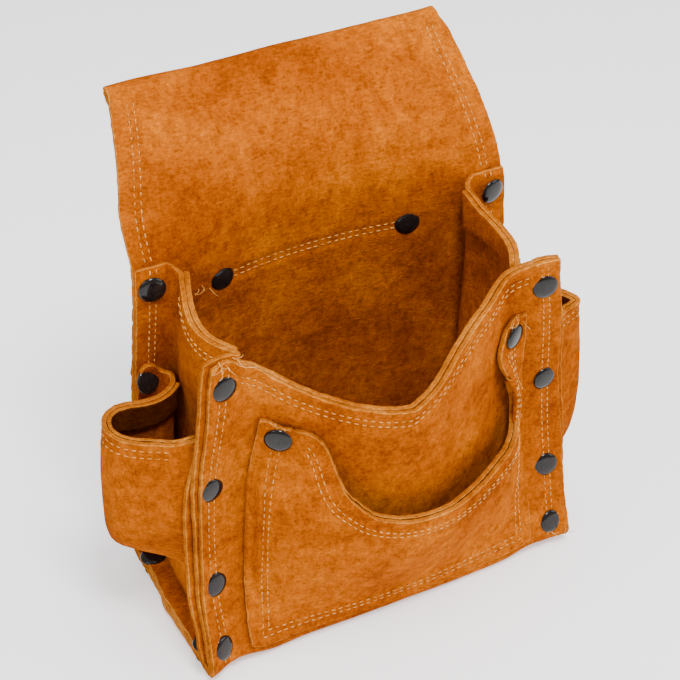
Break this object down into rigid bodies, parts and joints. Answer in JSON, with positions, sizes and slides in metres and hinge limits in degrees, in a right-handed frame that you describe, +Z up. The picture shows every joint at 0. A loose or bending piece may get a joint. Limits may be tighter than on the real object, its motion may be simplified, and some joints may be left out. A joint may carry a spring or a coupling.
{
  "type": "carpenter nail apron",
  "caption": "Belt-hung suede leather nail and tool bag with a scooped main pocket, a front pocket, two side pockets and a folded belt tunnel, riveted and stitched.",
  "frame": {"origin": "middle of the bounding box's underside, on the surface that the bag stands on", "axes": "+Z up, the front panel and its pocket face -Y, the belt tunnel is at +Y, the width is along X"},
  "size_m": [0.254, 0.151, 0.2587],
  "materials": {
    "suede": "napped suede split, golden tan",
    "facing": "napped suede split, golden tan, with a cut edge",
    "rivet_metal": "antique black, domed"
  },
  "bodies": {
    "root": {"front_panel": "suede", "mouth_facing": "facing", "back_panel": "suede", "front_pocket": "suede", "pocket_facing": "facing", "gusset_left": "suede", "gusset_facing_left": "facing", "edge_strip_left": "facing", "side_pocket_left": "suede", "side_facing_left": "facing", "gusset_right": "suede", "gusset_facing_right": "facing", "edge_strip_right": "facing", "side_pocket_right": "suede", "side_facing_right": "facing", "front_rivet_left_1": "rivet_metal", "front_rivet_left_2": "rivet_metal", "front_rivet_left_3": "rivet_metal", "front_rivet_left_4": "rivet_metal", "back_rivet_left_1": "rivet_metal", "back_rivet_left_2": "rivet_metal", "back_rivet_left_3": "rivet_metal", "bottom_rivet_left_1": "rivet_metal", "bottom_rivet_left_2": "rivet_metal", "belt_rivet_left": "rivet_metal", "pocket_rivet_left": "rivet_metal", "front_rivet_right_1": "rivet_metal", "front_rivet_right_2": "rivet_metal", "front_rivet_right_3": "rivet_metal", "front_rivet_right_4": "rivet_metal", "back_rivet_right_1": "rivet_metal", "back_rivet_right_2": "rivet_metal", "back_rivet_right_3": "rivet_metal", "bottom_rivet_right_1": "rivet_metal", "bottom_rivet_right_2": "rivet_metal", "belt_rivet_right": "rivet_metal", "pocket_rivet_right": "rivet_metal"}
  },
  "joints": []
}
